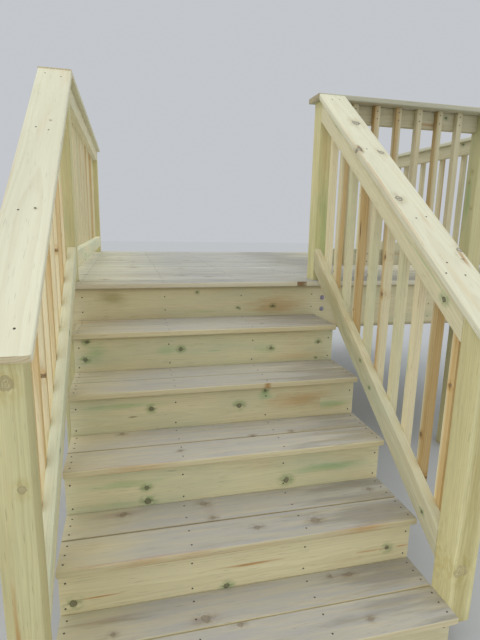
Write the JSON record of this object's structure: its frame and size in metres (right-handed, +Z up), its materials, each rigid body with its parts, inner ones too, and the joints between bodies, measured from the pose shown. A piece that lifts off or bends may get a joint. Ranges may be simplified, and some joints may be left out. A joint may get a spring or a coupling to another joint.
{
  "type": "deck stairs",
  "caption": "Free-standing timber deck for a house wall, with a straight flight of steps, baluster guards, sloping and level caps and square posts.",
  "frame": {"origin": "on the ground, under the middle of the whole part", "axes": "+X to the right along the treads, +Y up the flight into the wall, +Z up"},
  "size_m": [3.0212, 3.674, 2.035],
  "materials": {
    "tread": "sawn treated pine, worn grey by feet",
    "riser": "sawn treated pine",
    "framing": "sawn treated pine, in shade",
    "rail": "planed treated pine",
    "cap": "planed treated pine with eased edges",
    "post": "sawn treated pine",
    "baluster": "planed treated pine"
  },
  "bodies": {
    "root": {"stringer_left": "framing", "stringer_right": "framing", "stringers_inner": "framing", "riser_1": "riser", "riser_2": "riser", "riser_3": "riser", "riser_4": "riser", "riser_5": "riser", "tread_1": "tread", "tread_2": "tread", "tread_3": "tread", "tread_4": "tread", "tread_5": "tread", "rim_front": "riser", "rim_rear": "framing", "joists": "framing", "deck_boards": "tread", "deck_boards_notched": "tread", "newel_left": "post", "newel_right": "post", "post_stair_left": "post", "post_stair_right": "post", "post_middle": "post", "post_corner": "post", "post_wall_left": "post", "post_wall_right": "post", "left_bottom_rail": "rail", "left_top_rail": "rail", "left_cap": "cap", "left_balusters": "baluster", "right_bottom_rail": "rail", "right_top_rail": "rail", "right_cap": "cap", "right_balusters": "baluster", "landing_bottom_rail": "rail", "landing_top_rail": "rail", "landing_cap": "cap", "landing_balusters": "baluster", "front_bottom_rail": "rail", "front_top_rail": "rail", "front_cap": "cap", "front_balusters": "baluster", "side_bottom_rail": "rail", "side_top_rail": "rail", "side_cap": "cap", "side_balusters": "baluster"}
  },
  "joints": []
}
